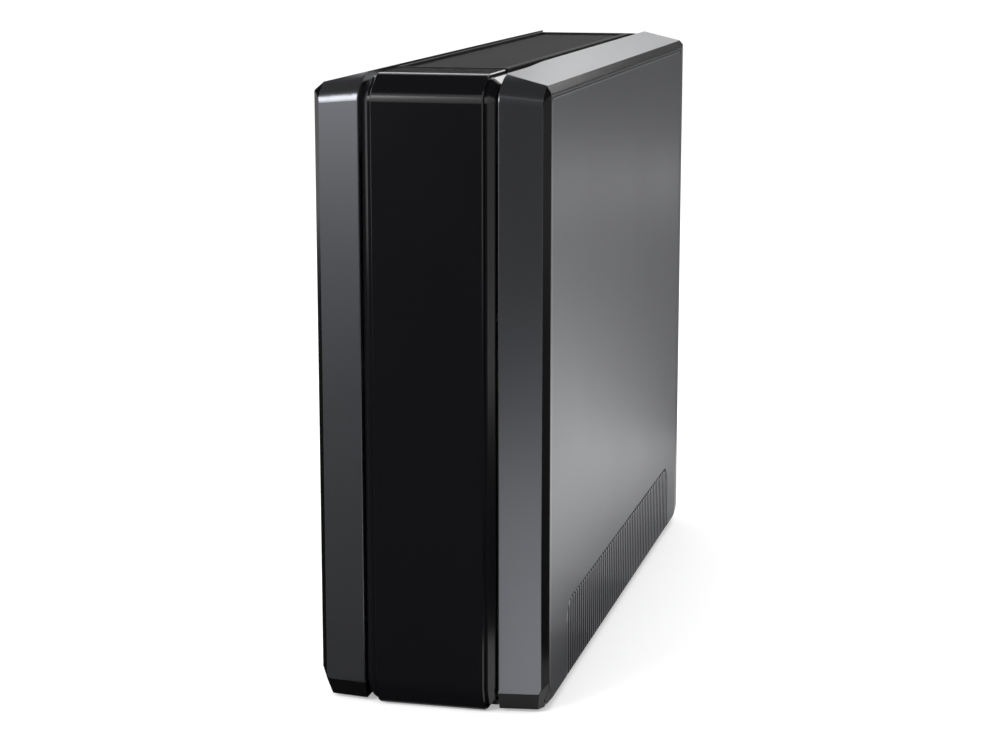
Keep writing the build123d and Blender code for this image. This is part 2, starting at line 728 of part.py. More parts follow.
with BuildPart() as battery_tray:
    box_between(
        (TRAY_BACK_X, -TRAY_HALF_LENGTH, TRAY_FLOOR_Z),
        (TRAY_FRONT_X, TRAY_HALF_LENGTH, TRAY_TOP_Z),
    )
    bay_length = TRAY_HALF_LENGTH - TRAY_WALL - TRAY_DIVIDER / 2
    for side in (-1, 1):
        middle_y = side * (TRAY_DIVIDER + bay_length) / 2
        box_between(
            (BLOCK_LEFT_X - 0.5, middle_y - bay_length / 2, TRAY_FLOOR_Z + TRAY_WALL),
            (TRAY_FRONT_X + 1.0, middle_y + bay_length / 2, TRAY_TOP_Z - TRAY_WALL),
            mode=Mode.SUBTRACT,
        )
        # windows that lighten the back wall and the top, clear of the fuse holder
        box_between(
            (TRAY_BACK_X - 1.0, middle_y - WINDOW_HALF, TRAY_FLOOR_Z + 25.0),
            (TRAY_BACK_X + TRAY_WALL + 1.0, middle_y + WINDOW_HALF, TRAY_TOP_Z - 25.0),
            mode=Mode.SUBTRACT,
        )
        box_between(
            (TOP_WINDOW_X[0], middle_y - WINDOW_HALF, TRAY_TOP_Z - TRAY_WALL - 1.0),
            (TOP_WINDOW_X[1], middle_y + WINDOW_HALF, TRAY_TOP_Z + 1.0),
            mode=Mode.SUBTRACT,
        )
        # ears that are screwed to the left shell
        for screw_z in TRAY_SCREW_Z:
            ear_y = side * TRAY_EAR_Y
            edge_y = side * (TRAY_HALF_LENGTH - 0.5)
            tip_y = side * (TRAY_EAR_Y + 5.5)
            box_between(
                (TRAY_SCREW_X - 2.0, min(edge_y, tip_y), screw_z - 6.0),
                (TRAY_SCREW_X, max(edge_y, tip_y), screw_z + 6.0),
            )
            peg(
                (TRAY_SCREW_X - 3.0, ear_y, screw_z),
                ALONG_X,
                SCREW_RADIUS + 0.1,
                5.0,
                mode=Mode.SUBTRACT,
            )
    for screw_x in (-BASE_SCREW_X, BASE_SCREW_X):
        for screw_y in BASE_SCREW_Y:
            peg((screw_x, screw_y, LAP_TOP_Z), ALONG_Z, 5.0, TRAY_FLOOR_Z - LAP_TOP_Z + 0.5)
            peg((screw_x, screw_y, LAP_TOP_Z), ALONG_Z, SCREW_RADIUS, 4.0, mode=Mode.SUBTRACT)
finish(battery_tray, "battery_tray")


# Sealed blocks: a jar and a lid with a joint line, laid on their sides with the lid outward

with BuildPart() as battery_block:
    Box(
        BLOCK_HEIGHT,
        BLOCK_LENGTH,
        BLOCK_WIDTH,
        align=(Align.MIN, Align.CENTER, Align.MIN),
    )
    fillet(edges().filter_by(Axis.X), radius=2.0)
    lid_line_x = BLOCK_HEIGHT - 12.0
    with BuildSketch(Plane.YZ.offset(lid_line_x)):
        with Locations((0.0, BLOCK_WIDTH / 2)):
            Rectangle(BLOCK_LENGTH + 2.0, BLOCK_WIDTH + 2.0)
            RectangleRounded(BLOCK_LENGTH - 1.2, BLOCK_WIDTH - 1.2, 1.4, mode=Mode.SUBTRACT)
    extrude(amount=1.0, mode=Mode.SUBTRACT)
    with BuildSketch(Plane.YZ.offset(BLOCK_HEIGHT - 0.6)):
        with Locations((0.0, BLOCK_WIDTH / 2)):
            RectangleRounded(96.0, 22.0, 2.0)
            RectangleRounded(95.0, 21.0, 1.6, mode=Mode.SUBTRACT)
    extrude(amount=1.0, mode=Mode.SUBTRACT)

cartridge_ys = {"front": -(TRAY_DIVIDER + BLOCK_LENGTH + 1.0) / 2}
cartridge_ys["rear"] = -cartridge_ys["front"]
block_zs = {"lower": BLOCK_FLOOR_Z, "upper": BLOCK_FLOOR_Z + BLOCK_WIDTH + BLOCK_CLEARANCE}

for bay, middle_y in cartridge_ys.items():
    for level, low_z in block_zs.items():
        with BuildPart() as battery:
            with Locations((BLOCK_LEFT_X, middle_y, low_z)):
                add(battery_block.part)
        finish(battery, f"battery_{bay}_{level}")


# Tab terminals, the boots pushed onto them, and the leads

lid_x = BLOCK_LEFT_X + BLOCK_HEIGHT
lower_tab_z = block_zs["lower"] + BLOCK_WIDTH / 2 + TAB_OFFSET_Z
upper_tab_z = block_zs["upper"] + BLOCK_WIDTH / 2 - TAB_OFFSET_Z
tab_places = []
for middle_y in cartridge_ys.values():
    for tab_z in (lower_tab_z, upper_tab_z):
        for offset_y in (-TAB_OFFSET_Y, TAB_OFFSET_Y):
            tab_places.append((middle_y + offset_y, tab_z))

with BuildPart() as battery_terminals:
    for tab_y, tab_z in tab_places:
        box_between(
            (lid_x, tab_y - 0.4, tab_z - TAB_WIDTH / 2),
            (lid_x + TAB_LENGTH, tab_y + 0.4, tab_z + TAB_WIDTH / 2),
        )
finish(battery_terminals, "battery_terminals")

def add_boot(tab_y, tab_z, turn):
    """Boot over one tab in the part being built, its tail turned from +Y about the tab."""
    with Locations(Location((lid_x + 0.7, tab_y, tab_z), (turn, 0, 0))):
        Box(
            BOOT_HEIGHT,
            BOOT_TAIL + BOOT_NOSE,
            2 * BOOT_HALF,
            align=(Align.MIN, Align.CENTER, Align.CENTER),
        )


with BuildPart() as terminal_boots:
    for middle_y in cartridge_ys.values():
        linked_y = middle_y - TAB_OFFSET_Y
        free_y = middle_y + TAB_OFFSET_Y
        tail_shift = (BOOT_TAIL - BOOT_NOSE) / 2
        add_boot(linked_y, lower_tab_z + tail_shift, 90)
        add_boot(linked_y, upper_tab_z - tail_shift, 90)
        add_boot(free_y, upper_tab_z + tail_shift, 90)
        add_boot(free_y - tail_shift, lower_tab_z, 0)
    chamfer(edges().filter_by(Axis.X), length=1.0)
    for tab_y, tab_z in tab_places:
        box_between(
            (lid_x, tab_y - 0.5, tab_z - TAB_WIDTH / 2 - 0.2),
            (lid_x + TAB_LENGTH + 0.2, tab_y + 0.5, tab_z + TAB_WIDTH / 2 + 0.2),
            mode=Mode.SUBTRACT,
        )
finish(terminal_boots, "terminal_boots")


def lead_along(*points, bend=LEAD_BEND):
    """Round lead along straight runs joined by tangent bends."""
    with BuildPart() as lead:
        with BuildLine() as route:
            if len(points) > 2:
                FilletPolyline(*points, radius=bend)
            else:
                Line(*points)
        with BuildSketch(Plane(route.line @ 0, z_dir=route.line % 0)):
            Circle(LEAD_RADIUS)
        sweep(path=route.line)
    return lead.part


with BuildPart() as series_links:
    for middle_y in cartridge_ys.values():
        linked_y = middle_y - TAB_OFFSET_Y
        add(
            lead_along(
                (LEAD_X, linked_y, lower_tab_z + BOOT_TAIL),
                (LEAD_X, linked_y, upper_tab_z - BOOT_TAIL),
            )
        )
finish(series_links, "series_links")

front_free_y = cartridge_ys["front"] + TAB_OFFSET_Y
rear_free_y = cartridge_ys["rear"] + TAB_OFFSET_Y
boot_top_z = upper_tab_z + BOOT_TAIL

tail_y = SOCKET_BACK_Y - CONTACT_TAIL
fuse_middle_z = (FUSE_BOTTOM_Z + FUSE_TOP_Z) / 2
low_run_z = TRAY_TOP_Z + 4.0
high_run_z = TRAY_TOP_Z + 8.4

with BuildPart() as positive_lead:
    add(
        lead_along(
            (LEAD_X, front_free_y, boot_top_z),
            (LEAD_X, front_free_y, FUSE_TOP_Z - 3.0),
            (FUSE_X - 4.5, front_free_y, FUSE_TOP_Z - 3.0),
            (FUSE_X - 4.5, FUSE_FRONT_Y, FUSE_TOP_Z - 3.0),
        )
    )
    add(
        lead_along(
            (LEAD_X, rear_free_y, boot_top_z),
            (LEAD_X, rear_free_y, FUSE_BOTTOM_Z + 9.0),
            (LEAD_X, FUSE_FRONT_Y - 24.0, FUSE_BOTTOM_Z + 9.0),
            (FUSE_X + 4.5, FUSE_FRONT_Y - 24.0, FUSE_BOTTOM_Z + 9.0),
            (FUSE_X + 4.5, FUSE_FRONT_Y, FUSE_BOTTOM_Z + 9.0),
        )
    )
    add(
        lead_along(
            (FUSE_X, FUSE_REAR_Y, fuse_middle_z),
            (FUSE_X, FUSE_REAR_Y + 28.0, fuse_middle_z),
            (FUSE_X, FUSE_REAR_Y + 28.0, OUTPUT_SOCKET_Z),
            (contact_xs[1], FUSE_REAR_Y + 28.0, OUTPUT_SOCKET_Z),
            (contact_xs[1], tail_y, OUTPUT_SOCKET_Z),
        )
    )
    add(
        lead_along(
            (contact_xs[1], tail_y + 2.0, OUTPUT_SOCKET_Z - CONTACT_WIDTH / 2),
            (contact_xs[1], tail_y + 2.0, LINK_SOCKET_Z + CONTACT_WIDTH / 2),
        )
    )
finish(positive_lead, "positive_lead")

with BuildPart() as negative_lead:
    add(
        lead_along(
            (LEAD_X, front_free_y - BOOT_TAIL, lower_tab_z),
            (LEAD_X, front_free_y - BOOT_TAIL - LEAD_TURN, lower_tab_z),
            (LEAD_X, front_free_y - BOOT_TAIL - LEAD_TURN, high_run_z),
            (contact_xs[0], front_free_y - BOOT_TAIL - LEAD_TURN, high_run_z),
            (contact_xs[0], tail_y, high_run_z),
        )
    )
    add(
        lead_along(
            (LEAD_X, rear_free_y - BOOT_TAIL, lower_tab_z),
            (LEAD_X, rear_free_y - BOOT_TAIL - LEAD_TURN, lower_tab_z),
            (LEAD_X, rear_free_y - BOOT_TAIL - LEAD_TURN, low_run_z),
            (contact_xs[0], rear_free_y - BOOT_TAIL - LEAD_TURN, low_run_z),
            (contact_xs[0], tail_y, low_run_z),
            bend=CLOSE_BEND,
        )
    )
    add(
        lead_along(
            (contact_xs[0], tail_y + 2.0, OUTPUT_SOCKET_Z - CONTACT_WIDTH / 2),
            (contact_xs[0], tail_y + 2.0, LINK_SOCKET_Z + CONTACT_WIDTH / 2),
        )
    )
finish(negative_lead, "negative_lead")


# Fuse holder on the tray, and the blade fuse in it

cup_floor_z = FUSE_TOP_Z - FUSE_CUP_DEPTH

with BuildPart() as fuse_holder:
    box_between(
        (FUSE_X - FUSE_HOLDER_HALF, FUSE_FRONT_Y, FUSE_BOTTOM_Z),
        (FUSE_X + FUSE_HOLDER_HALF, FUSE_REAR_Y, FUSE_TOP_Z),
    )
    fillet(edges().filter_by(Axis.Z), radius=2.0)
    box_between(
        (FUSE_X - FUSE_CUP_HALF, FUSE_FRONT_Y + 8.0, cup_floor_z),
        (FUSE_X + FUSE_CUP_HALF, FUSE_REAR_Y - 8.0, FUSE_TOP_Z + 1.0),
        mode=Mode.SUBTRACT,
    )
    # two feet that stand on the tray's top
    for foot_y in (FUSE_FRONT_Y + 7.0, FUSE_REAR_Y - 7.0):
        box_between(
            (FUSE_X - FUSE_HOLDER_HALF + 2.0, foot_y - 2.0, TRAY_TOP_Z),
            (FUSE_X + FUSE_HOLDER_HALF - 2.0, foot_y + 2.0, FUSE_BOTTOM_Z + 0.5),
        )
finish(fuse_holder, "fuse_holder")

with BuildPart() as blade_fuse:
    box_between(
        (FUSE_X - FUSE_HALF, FUSE_FRONT_Y + 9.0, cup_floor_z + 8.0),
        (FUSE_X + FUSE_HALF, FUSE_REAR_Y - 9.0, FUSE_TOP_Z + 2.0),
    )
    fillet(edges().filter_by(Axis.Z), radius=1.0)
    for blade_y in (FUSE_FRONT_Y + 12.0, FUSE_REAR_Y - 12.0):
        box_between(
            (FUSE_X - 0.4, blade_y - 2.5, cup_floor_z),
            (FUSE_X + 0.4, blade_y + 2.5, cup_floor_z + 8.5),
        )
finish(blade_fuse, "blade_fuse")


# Straps around each pair of blocks

with BuildPart() as cartridge_straps:
    strap_low = BLOCK_FLOOR_Z - STRAP_THICK
    strap_high = block_zs["upper"] + BLOCK_WIDTH + STRAP_THICK
    for middle_y in cartridge_ys.values():
        with BuildSketch(Plane.XZ.offset(-middle_y - 12.0)):
            with Locations(((BLOCK_LEFT_X + lid_x) / 2, (strap_low + strap_high) / 2)):
                Rectangle(BLOCK_HEIGHT + 2 * STRAP_THICK, strap_high - strap_low)
                Rectangle(
                    BLOCK_HEIGHT,
                    strap_high - strap_low - 2 * STRAP_THICK,
                    mode=Mode.SUBTRACT,
                )
        extrude(amount=24.0)
finish(cartridge_straps, "cartridge_straps")


# Pads on the inside of the cover, over the middle of each cartridge

with BuildPart() as foam_pads:
    for middle_y in cartridge_ys.values():
        box_between(
            (lid_x + STRAP_THICK + 0.4, middle_y - PAD_HALF, PAD_BOTTOM_Z),
            (HALF - COVER_THICK, middle_y + PAD_HALF, PAD_TOP_Z),
        )
    fillet(edges().filter_by(Axis.X), radius=3.0)
finish(foam_pads, "foam_pads")


# Screws

def add_screw(start, rotation, length):
    """Pan-head screw in the part being built: shank from a point, head behind it."""
    peg(start, rotation, SCREW_RADIUS, length)
    with Locations(Location(start, rotation)):
        Cylinder(
            SCREW_HEAD_RADIUS,
            1.6,
            align=(Align.CENTER, Align.CENTER, Align.MAX),
        )


with BuildPart() as rear_screws:
    for screw_x in (-REAR_SCREW_X, REAR_SCREW_X):
        for screw_z in REAR_SCREW_Z:
            add_screw((screw_x, REAR_PANEL_Y + REAR_PANEL_THICK, screw_z), (90, 0, 0), 12.0)
finish(rear_screws, "rear_screws")

with BuildPart() as tray_screws:
    for screw_y in (-TRAY_EAR_Y, TRAY_EAR_Y):
        for screw_z in TRAY_SCREW_Z:
            add_screw((TRAY_SCREW_X, screw_y, screw_z), (0, -90, 0), 12.0)
finish(tray_screws, "tray_screws")

with BuildPart() as base_screws:
    for screw_x in (-BASE_SCREW_X, BASE_SCREW_X):
        for screw_y in BASE_SCREW_Y:
            peg((screw_x, screw_y, UNDERSIDE), ALONG_Z, SCREW_RADIUS, 8.0)
            peg((screw_x, screw_y, UNDERSIDE - 1.2), ALONG_Z, SCREW_HEAD_RADIUS, 1.2)
finish(base_screws, "base_screws")
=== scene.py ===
# %% [markdown]
# A battery pack for a small UPS
#
# This lesson dresses a finished CAD model: a tall moulded case with a glossy black centre panel,
# gunmetal wings, a ribbed vent on top and a sliding battery cover on its right side. The shapes
# come from the CAD model and stay as they are. The lesson adds what makes them look real: how
# each piece was made, what its surface does with light, and a small studio.

# %% Load the CAD model as a fixed frame
from math import pi, radians

import bpy
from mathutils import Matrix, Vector

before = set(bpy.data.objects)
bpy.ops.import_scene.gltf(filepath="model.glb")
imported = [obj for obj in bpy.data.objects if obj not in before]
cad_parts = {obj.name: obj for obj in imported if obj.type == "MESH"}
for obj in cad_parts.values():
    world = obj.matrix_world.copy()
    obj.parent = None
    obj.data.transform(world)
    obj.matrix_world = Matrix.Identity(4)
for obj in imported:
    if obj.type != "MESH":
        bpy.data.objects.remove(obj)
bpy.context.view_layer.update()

# %% [markdown]
# Colours and nodes
#
# A designer reads colours as sRGB hex values, but a renderer adds light in linear values, so one
# function turns the first into the second. Every material is a small network of nodes, and one
# more function adds a node, sets it up and links its inputs. An input can be a plain value, a
# named output of another node, or a node itself, which stands for its first output.

# %% Colour and node helpers
MM = 0.001


def linear(hex_colour):
    """Linear RGBA of an sRGB colour written as six hex digits."""
    channels = [int(hex_colour[i:i + 2], 16) / 255 for i in (0, 2, 4)]
    lit = [c / 12.92 if c <= 0.04045 else ((c + 0.055) / 1.055) ** 2.4 for c in channels]
    return (*lit, 1.0)


def add_node(tree, kind, inputs=None, **settings):
    """Add one node to a tree, set its options, and fill or link its inputs."""
    node = tree.nodes.new(kind)
    for name, value in settings.items():
        setattr(node, name, value)
    for name, value in (inputs or {}).items():
        if isinstance(value, bpy.types.Node):
            value = value.outputs[0]
        if isinstance(value, bpy.types.NodeSocket):
            tree.links.new(value, node.inputs[name])
        else:
            node.inputs[name].default_value = value
    return node


def new_finish(name):
    """An empty material, its node tree, and coordinates in metres that are fixed to the piece."""
    material = bpy.data.materials.new(name)
    material.use_nodes = True
    tree = material.node_tree
    tree.nodes.clear()
    where = add_node(tree, "ShaderNodeTexCoord").outputs["Object"]
    return material, tree, where


def close_finish(tree, shader):
    """Send a shader to the material's output."""
    add_node(tree, "ShaderNodeOutputMaterial", {"Surface": shader})


# A Mix node lists its colour sockets after its number and vector ones
COLOUR_A, COLOUR_B, COLOUR_RESULT = 6, 7, 2
# How many finer layers lie over the first one of a noise
SMOOTH, PLAIN, BROKEN = 1.0, 2.0, 3.0

# %% [markdown]
# Moulded plastic
#
# ABS housings come out of a steel mould whose walls were etched by spark erosion. The etching
# leaves a fine grain on the part, which breaks up reflections, so a flat wall looks satin. A
# mould never fills or cools quite evenly, so both the tone and the sheen drift a little over a
# hand's width. The recipe has three layers: a slow drift of tone, a slow drift of sheen, and the
# grain as a relief. The grain of a real part is about 0.05 mm across, too fine to show in a
# picture of the whole case, so it is drawn many times coarser. Rubber, foam and the other
# plastics take the same recipe, and only its numbers differ.

# %% Recipe for moulded plastic
# Of ABS, and near enough for the others
PLASTIC_IOR = 1.54
DRIFT_MM = 70.0


def moulded_plastic(name, tones, sheen, grain_mm, grain_depth_mm, gloss=0.5):
    """Two tones and two roughness values that drift, and a fine grain."""
    material, tree, where = new_finish(name)
    drift = add_node(
        tree, "ShaderNodeTexNoise",
        {"Vector": where, "Scale": 1 / (DRIFT_MM * MM), "Detail": BROKEN},
    )
    tone = add_node(
        tree, "ShaderNodeMix",
        {0: drift, COLOUR_A: linear(tones[0]), COLOUR_B: linear(tones[1])},
        data_type="RGBA",
    )
    roughness = add_node(
        tree, "ShaderNodeMapRange", {"Value": drift, "To Min": sheen[0], "To Max": sheen[1]}
    )
    grain = add_node(
        tree, "ShaderNodeTexNoise",
        {"Vector": where, "Scale": 1 / (grain_mm * MM), "Detail": PLAIN},
    )
    relief = add_node(
        tree, "ShaderNodeBump",
        {"Height": grain, "Distance": grain_depth_mm * MM, "Strength": 1.0},
    )
    shader = add_node(
        tree, "ShaderNodeBsdfPrincipled",
        {
            "Base Color": tone.outputs[COLOUR_RESULT],
            "Roughness": roughness,
            "Normal": relief,
            "IOR": PLASTIC_IOR,
            "Specular IOR Level": gloss,
        },
    )
    close_finish(tree, shader)
    return material


# %% [markdown]
# Black edges
#
# The wings, the fenders and the battery cover carry a gunmetal paint. The narrow chamfers round
# each side are masked off before spraying and stay black, and so do the lowest facets of the
# wings. A mask made from the place of a point on the case does the same here: it is 1 where the
# plastic stays bare and 0 elsewhere.
#
# Left and right are alike, so the mask asks only how far a point is from the middle. Most
# chamfers are found with one or two limits along the axes. The small facet at each lower front
# corner is slanted in all three directions, so it takes a plane: a point is on it when its
# distance along the facet's own direction is large enough. Each comparison gives 1 or 0. Their
# maximum is 1 where one or the other holds, and their product is 1 where both do.

# %% The mask of the black edges
# The flat faces end at these places, and the chamfers go on from there
WING_EDGE_X = 52.9 * MM
SIDE_FRONT_Y = -180.8 * MM
SIDE_TOP_Z = 292.0 * MM
SIDE_BOTTOM_Z = 5.4 * MM
# The lowest facet of a wing is in front of the first and below the second
TOE_Y = -176.0 * MM
TOE_Z = 10.2 * MM
# The small facet at each lower front corner lies on this plane
FOOT_NORMAL = Vector((0.85, -0.43, -0.31))
FOOT_CORNER = Vector((56.0, -180.9, 15.0)) * MM
FOOT_MARGIN = 0.25 * MM


def chamfer_mask(tree, where):
    """1 on the chamfers round the sides of the case and on the lowest facets of the wings."""
    place = add_node(tree, "ShaderNodeSeparateXYZ", {"Vector": where})
    along = place.outputs["Y"]
    height = place.outputs["Z"]
    across = add_node(tree, "ShaderNodeMath", {0: place.outputs["X"]}, operation="ABSOLUTE")

    # The chamfers along the front and the top of each side, and along its bottom
    outer = add_node(tree, "ShaderNodeMath", {0: across, 1: WING_EDGE_X}, operation="GREATER_THAN")
    front = add_node(tree, "ShaderNodeMath", {0: along, 1: SIDE_FRONT_Y}, operation="LESS_THAN")
    top = add_node(tree, "ShaderNodeMath", {0: height, 1: SIDE_TOP_Z}, operation="GREATER_THAN")
    rim = add_node(tree, "ShaderNodeMath", {0: top, 1: front}, operation="MAXIMUM")
    edge = add_node(tree, "ShaderNodeMath", {0: rim, 1: outer}, operation="MULTIPLY")
    bottom = add_node(tree, "ShaderNodeMath", {0: height, 1: SIDE_BOTTOM_Z}, operation="LESS_THAN")

    # The lowest facet of each wing
    low = add_node(tree, "ShaderNodeMath", {0: height, 1: TOE_Z}, operation="LESS_THAN")
    forward = add_node(tree, "ShaderNodeMath", {0: along, 1: TOE_Y}, operation="LESS_THAN")
    toe = add_node(tree, "ShaderNodeMath", {0: low, 1: forward}, operation="MULTIPLY")

    # The slanted facet at each lower front corner
    folded = add_node(tree, "ShaderNodeCombineXYZ", {"X": across, "Y": along, "Z": height})
    outward = add_node(
        tree, "ShaderNodeVectorMath", {0: folded, 1: FOOT_NORMAL}, operation="DOT_PRODUCT"
    )
    foot = add_node(
        tree, "ShaderNodeMath",
        {0: outward.outputs["Value"], 1: FOOT_NORMAL.dot(FOOT_CORNER) - FOOT_MARGIN},
        operation="GREATER_THAN",
    )

    straight = add_node(tree, "ShaderNodeMath", {0: edge, 1: bottom}, operation="MAXIMUM")
    facets = add_node(tree, "ShaderNodeMath", {0: toe, 1: foot}, operation="MAXIMUM")
    return add_node(tree, "ShaderNodeMath", {0: straight, 1: facets}, operation="MAXIMUM")


# %% [markdown]
# Painted highlights on the cover
#
# Fingers pull the battery cover down by its ribbed grip, and its front and top edges slide in the
# recess. A paler tone is painted on the lip round the ribs, and a little on the ribs, as a painted
# highlight where the rounded lip and the rib ends would catch the light. The front and top edges
# get the same painted highlight. The grip is a rectangle with rounded upper corners. How far a
# point lies inside it follows from two distances, one along the case and one upwards, which count
# only within a corner's radius of the border.

# %% Where the cover has painted highlights
GRIP_MIDDLE_Y = 4.25 * MM
GRIP_HALF_LENGTH = 146.25 * MM
GRIP_TOP_Z = 43.5 * MM
GRIP_RADIUS = 13.0 * MM
LIP_WIDTH = 3.2 * MM
COVER_FRONT_Y = -179.1 * MM
COVER_TOP_Z = 290.3 * MM
# How wide the painted highlight is along the cover's front and top edges
FRONT_HIGHLIGHT_WIDTH = 1.6 * MM
TOP_HIGHLIGHT_WIDTH = 0.7 * MM
# How strong the painted highlight is on the ribs and the edges, where 1 is the lip
RIB_HIGHLIGHT = 0.3
EDGE_HIGHLIGHT = 0.6


def distance_past(tree, value, limit):
    """How far a value is past a limit, and 0 before it."""
    past = add_node(tree, "ShaderNodeMath", {0: value, 1: limit}, operation="SUBTRACT")
    return add_node(tree, "ShaderNodeMath", {0: past, 1: 0.0}, operation="MAXIMUM")


def painted_cover_highlights(tree, where):
    """Painted highlight: strongest on the grip's lip, less on its ribs and the edges."""
    place = add_node(tree, "ShaderNodeSeparateXYZ", {"Vector": where})
    along = place.outputs["Y"]
    height = place.outputs["Z"]

    # The grip: a painted highlight on the lip round its border, and a weaker one on the ribs
    # inside
    offset = add_node(tree, "ShaderNodeMath", {0: along, 1: GRIP_MIDDLE_Y}, operation="SUBTRACT")
    off_middle = add_node(tree, "ShaderNodeMath", {0: offset}, operation="ABSOLUTE")
    corner = add_node(
        tree, "ShaderNodeCombineXYZ",
        {
            "X": distance_past(tree, off_middle, GRIP_HALF_LENGTH - GRIP_RADIUS),
            "Y": distance_past(tree, height, GRIP_TOP_Z - GRIP_RADIUS),
        },
    )
    reach = add_node(
        tree, "ShaderNodeVectorMath", {0: corner}, operation="LENGTH"
    ).outputs["Value"]
    lip = add_node(
        tree, "ShaderNodeMapRange",
        {
            "Value": reach,
            "From Min": GRIP_RADIUS - LIP_WIDTH,
            "From Max": GRIP_RADIUS - 0.5 * LIP_WIDTH,
            "To Min": RIB_HIGHLIGHT,
            "To Max": 1.0,
        },
    )
    inside = add_node(tree, "ShaderNodeMath", {0: reach, 1: GRIP_RADIUS}, operation="LESS_THAN")
    grip = add_node(tree, "ShaderNodeMath", {0: lip, 1: inside}, operation="MULTIPLY")

    # A painted highlight along the edges that slide in the recess
    front = add_node(
        tree, "ShaderNodeMath", {0: along, 1: COVER_FRONT_Y + FRONT_HIGHLIGHT_WIDTH}, operation="LESS_THAN"
    )
    top = add_node(
        tree, "ShaderNodeMath", {0: height, 1: COVER_TOP_Z - TOP_HIGHLIGHT_WIDTH}, operation="GREATER_THAN"
    )
    edges = add_node(tree, "ShaderNodeMath", {0: front, 1: top}, operation="MAXIMUM")
    edge_highlight = add_node(tree, "ShaderNodeMath", {0: edges, 1: EDGE_HIGHLIGHT}, operation="MULTIPLY")
    return add_node(tree, "ShaderNodeMath", {0: grip, 1: edge_highlight}, operation="MAXIMUM")


# %% [markdown]
# Gunmetal paint
#
# The paint is fine metal flakes in a dark lacquer. Flakes act as thousands of small mirrors, so
# the paint shows the room as a soft gradient and hardly any colour of its own. In the shader that
# is a dark metal with a satin roughness. Real flakes are about 0.03 mm wide, too fine to show in a
# picture of the whole case, so they are drawn as a faint mottle some ten times coarser. Where a
# highlight is painted the paint is paler, and where the mask is 1 the bare black plastic shows,
# which is no metal and is smoother than the paint.

# %% Mix the paint
FLAKE_MM = 0.35
FLAKE_RELIEF_MM = 0.004
FLAKE_SHARE = 0.9
LACQUER_IOR = 1.5
LACQUER_GLOSS = 0.15
# The paler tone of a painted highlight
HIGHLIGHT_PAINT = "A6A7AB"
BARE_BLACK = "0B0B0C"
BARE_STEP_IN_ROUGHNESS = -0.1


def gunmetal_paint(name, tones, sheen, painted_highlight=None):
    """Dark metallic paint, left off the black chamfers and paler where a highlight is painted."""
    material, tree, where = new_finish(name)
    bare = chamfer_mask(tree, where)
    flakes = add_node(
        tree, "ShaderNodeTexNoise",
        {"Vector": where, "Scale": 1 / (FLAKE_MM * MM), "Detail": PLAIN},
    )
    drift = add_node(
        tree, "ShaderNodeTexNoise",
        {"Vector": where, "Scale": 1 / (DRIFT_MM * MM), "Detail": BROKEN},
    )
    paint = add_node(
        tree, "ShaderNodeMix",
        {0: flakes, COLOUR_A: linear(tones[0]), COLOUR_B: linear(tones[1])},
        data_type="RGBA",
    )
    # A painted highlight: the paler tone mixed in where it is asked for
    if painted_highlight:
        paint = add_node(
            tree, "ShaderNodeMix",
            {
                0: painted_highlight(tree, where),
                COLOUR_A: paint.outputs[COLOUR_RESULT],
                COLOUR_B: linear(HIGHLIGHT_PAINT),
            },
            data_type="RGBA",
        )
    tone = add_node(
        tree, "ShaderNodeMix",
        {0: bare, COLOUR_A: paint.outputs[COLOUR_RESULT], COLOUR_B: linear(BARE_BLACK)},
        data_type="RGBA",
    )
    metal = add_node(
        tree, "ShaderNodeMapRange", {"Value": bare, "To Min": FLAKE_SHARE, "To Max": 0.0}
    )
    lacquer = add_node(
        tree, "ShaderNodeMapRange", {"Value": drift, "To Min": sheen[0], "To Max": sheen[1]}
    )
    roughness = add_node(
        tree, "ShaderNodeMath",
        {0: bare, 1: BARE_STEP_IN_ROUGHNESS, 2: lacquer},
        operation="MULTIPLY_ADD",
    )
    relief = add_node(
        tree, "ShaderNodeBump",
        {"Height": flakes, "Distance": FLAKE_RELIEF_MM * MM, "Strength": 1.0},
    )
    shader = add_node(
        tree, "ShaderNodeBsdfPrincipled",
        {
            "Base Color": tone.outputs[COLOUR_RESULT],
            "Metallic": metal,
            "Roughness": roughness,
            "Normal": relief,
            "IOR": LACQUER_IOR,
            "Specular IOR Level": LACQUER_GLOSS,
        },
    )
    close_finish(tree, shader)
    return material


wing_paint = gunmetal_paint("wing_paint", tones=("5F6064", "696A6E"), sheen=(0.27, 0.31))
# The cover's paint carries painted highlights on its grip and edges
cover_paint = gunmetal_paint(
    "cover_paint", tones=("5F6064", "696A6F"), sheen=(0.28, 0.33), painted_highlight=painted_cover_highlights,
)
print("paints:", wing_paint.name, cover_paint.name)

# %% [markdown]
# The other plastics
#
# The vent panel and the back are black ABS with a coarse etch, which hides finger marks, and so
# are the parts inside. The pits of a coarse etch also swallow light, so the two that show have
# less gloss. The battery jars are grey-black ABS from a smoother mould. The straps are pale PET,
# the leads are soft PVC, the fuse is amber polycarbonate, the feet are rubber and the pads
# behind the cover are foam. A comment on each says what it gives the eye.

# %% Plain plastics
# Black ABS with a coarse etch: an even charcoal without a clear highlight
vent_abs = moulded_plastic(
    "vent_abs", tones=("141415", "1B1B1C"), sheen=(0.52, 0.60),
    grain_mm=0.9, grain_depth_mm=0.015, gloss=0.15,
)
# Black ABS, etched as coarsely but left glossier: soft wide highlights
black_abs = moulded_plastic(
    "black_abs", tones=("161617", "1B1B1C"), sheen=(0.50, 0.60),
    grain_mm=0.9, grain_depth_mm=0.02,
)
# ABS from a smoother mould: a satin grey-black with a readable highlight
battery_abs = moulded_plastic(
    "battery_abs", tones=("26272A", "2C2D30"), sheen=(0.38, 0.46),
    grain_mm=1.2, grain_depth_mm=0.01,
)
